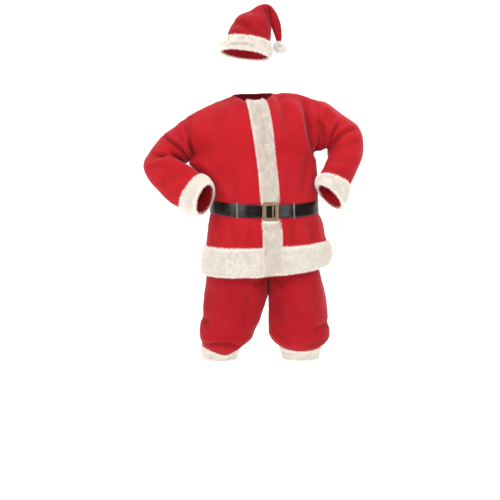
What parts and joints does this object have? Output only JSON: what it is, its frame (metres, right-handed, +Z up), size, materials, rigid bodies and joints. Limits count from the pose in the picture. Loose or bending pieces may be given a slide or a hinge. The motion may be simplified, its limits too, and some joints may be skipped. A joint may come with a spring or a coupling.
{
  "type": "santa suit",
  "caption": "Worn, hollow Santa suit in its pose: red plush coat and trousers with white fur trim, wide belt with a buckle, and a matching hat, without a wearer",
  "frame": {"origin": "base of the neck, level with the neckline, on the wearer's middle, where the wearer's shoulders hold the coat", "axes": "+Z up, -Y the front that faces the viewer, +X the wearer's left; metres"},
  "size_m": [0.9948, 0.4461, 1.6036],
  "materials": {
    "red_plush": "brushed plush",
    "white_fur": "short fluffy fur",
    "black_vinyl": "glossy vinyl",
    "aged_bronze": "aged bronze, cast with small knobs"
  },
  "bodies": {
    "root": {"coat_front_left": "red_plush", "coat_front_right": "red_plush", "coat_back": "red_plush", "sleeve_left": "red_plush", "sleeve_right": "red_plush", "front_band": "white_fur", "hem_band_left": "white_fur", "hem_band_right": "white_fur", "cuff_left": "white_fur", "cuff_right": "white_fur", "belt_strap": "black_vinyl", "buckle_frame": "aged_bronze", "buckle_prong": "aged_bronze", "belt_loop_left": "black_vinyl", "belt_loop_right": "black_vinyl", "trouser_front_left": "red_plush", "trouser_front_right": "red_plush", "trouser_back_left": "red_plush", "trouser_back_right": "red_plush", "waistband": "red_plush", "leg_cuff_left": "white_fur", "leg_cuff_right": "white_fur", "hat_crown": "red_plush", "hat_brim": "white_fur", "pompom": "white_fur"}
  },
  "joints": []
}
